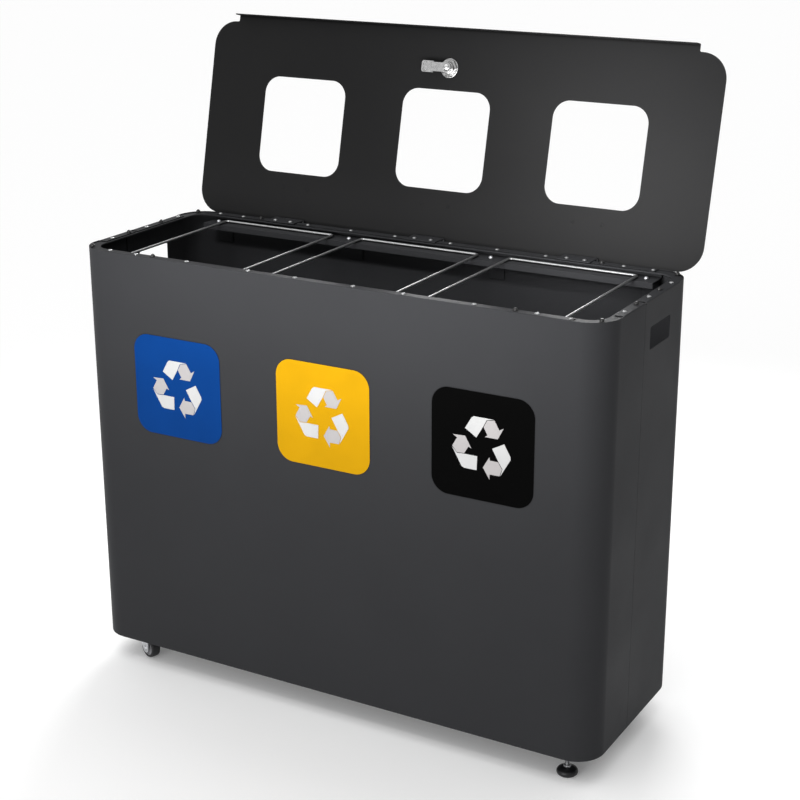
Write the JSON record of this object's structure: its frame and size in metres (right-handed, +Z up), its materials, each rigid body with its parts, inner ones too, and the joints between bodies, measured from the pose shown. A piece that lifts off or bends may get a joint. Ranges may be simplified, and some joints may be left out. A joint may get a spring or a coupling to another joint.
{
  "type": "litter bin",
  "caption": "Slim multi-stream recycling bin in grey powder-coated steel, with a hinged top that has square waste apertures, wire bag frames inside, casters and levelling feet",
  "frame": {"origin": "on the floor, under the middle of the bounding box of the bin standing with its lid open", "axes": "+X to the bin's right as seen from its front, along its length; +Y from the front labels towards the hinged rear; +Z up"},
  "size_m": [1.012, 0.4566, 1.1487],
  "materials": {
    "powder_coat": "fine satin texture",
    "lid_coat": "fine satin texture",
    "bright_rivet": "domed, bright",
    "zinc": "zinc plated",
    "frame_wire": "zinc plated wire",
    "lock_metal": "polished",
    "buffer_rubber": "matt",
    "label_blue": "printed film",
    "label_yellow": "printed film",
    "label_black": "printed film",
    "arrow_white": "printed film",
    "arrow_grey": "printed film",
    "foot_plastic": "satin moulded",
    "wheel_hub": "moulded",
    "wheel_tyre": "soft"
  },
  "bodies": {
    "body": {"front_shell": "powder_coat", "rear_shell": "powder_coat", "seam_strips": "powder_coat", "top_ring": "powder_coat", "rim_rivets": "bright_rivet", "lid_buffers": "buffer_rubber", "base_tray": "powder_coat", "caster_rail": "powder_coat", "foot_rail": "powder_coat", "rear_shelf": "powder_coat", "shelf_brackets": "powder_coat", "shelf_bolts": "zinc", "shelf_nuts": "zinc", "frame_brackets": "powder_coat", "label_blue": "label_blue", "label_yellow": "label_yellow", "label_black": "label_black", "label_arrow_tails": "arrow_white", "label_arrow_heads": "arrow_grey", "hinge_body_leaves": "powder_coat", "hinge_pins": "zinc", "hinge_body_rivets": "bright_rivet", "foot_inserts": "zinc", "foot_locknuts": "zinc", "front_caster_plate": "zinc", "rear_caster_plate": "zinc", "front_kingpin": "zinc", "rear_kingpin": "zinc", "caster_bolts": "zinc", "caster_nuts": "zinc"},
    "lid": {"lid_panel": "lid_coat", "hinge_lid_leaves": "powder_coat", "hinge_lid_rivets": "lid_coat", "lock_housing": "lock_metal", "lock_washer": "lock_metal", "lock_nut": "lock_metal"},
    "lock_barrel": {"lock_plug": "lock_metal", "lock_cam": "lock_metal", "lock_cam_screw": "lock_metal"},
    "left_frame": {"left_bag_frame": "frame_wire"},
    "middle_frame": {"middle_bag_frame": "frame_wire"},
    "right_frame": {"right_bag_frame": "frame_wire"},
    "front_caster": {"front_caster_fork": "zinc", "front_caster_axle": "zinc"},
    "rear_caster": {"rear_caster_fork": "zinc", "rear_caster_axle": "zinc"},
    "front_wheel": {"front_caster_hub": "wheel_hub", "front_caster_tyre": "wheel_tyre"},
    "rear_wheel": {"rear_caster_hub": "wheel_hub", "rear_caster_tyre": "wheel_tyre"},
    "front_foot": {"front_foot_pad": "foot_plastic", "front_foot_stud": "zinc"},
    "rear_foot": {"rear_foot_pad": "foot_plastic", "rear_foot_stud": "zinc"}
  },
  "joints": [
    {"name": "lid_hinge", "type": "hinge", "parent": "body", "child": "lid", "pos_m": [0, 0.13579, 0.7855], "axis": [-1, 0, 0], "range_deg": [-103, 0]},
    {"name": "lock_turn", "type": "hinge", "parent": "lid", "child": "lock_barrel", "pos_m": [0, 0.21081, 1.0771], "axis": [0, -0.9744, 0.225], "range_deg": [-90, 0]},
    {"name": "left_frame_lift", "type": "hinge", "parent": "body", "child": "left_frame", "pos_m": [-0.295, -0.20221, 0.77855], "axis": [1, 0, 0], "range_deg": [0, 80]},
    {"name": "middle_frame_lift", "type": "hinge", "parent": "body", "child": "middle_frame", "pos_m": [0, -0.20221, 0.77855], "axis": [1, 0, 0], "range_deg": [0, 80]},
    {"name": "right_frame_lift", "type": "hinge", "parent": "body", "child": "right_frame", "pos_m": [0.295, -0.20221, 0.77855], "axis": [1, 0, 0], "range_deg": [0, 80]},
    {"name": "front_caster_swivel", "type": "hinge", "parent": "body", "child": "front_caster", "pos_m": [-0.428, -0.18521, 0.05], "axis": [0, 0, 1], "continuous": true},
    {"name": "front_wheel_spin", "type": "hinge", "parent": "front_caster", "child": "front_wheel", "pos_m": [-0.41484, -0.18999, 0.02], "axis": [0.342, 0.9397, 0], "continuous": true},
    {"name": "rear_caster_swivel", "type": "hinge", "parent": "body", "child": "rear_caster", "pos_m": [-0.428, 0.08079, 0.05], "axis": [0, 0, 1], "continuous": true},
    {"name": "rear_wheel_spin", "type": "hinge", "parent": "rear_caster", "child": "rear_wheel", "pos_m": [-0.41484, 0.07601, 0.02], "axis": [0.342, 0.9397, 0], "continuous": true},
    {"name": "front_foot_level", "type": "slide", "parent": "body", "child": "front_foot", "axis": [0, 0, 1], "range_m": [-0.01, 0.008]},
    {"name": "rear_foot_level", "type": "slide", "parent": "body", "child": "rear_foot", "axis": [0, 0, 1], "range_m": [-0.01, 0.008]}
  ]
}
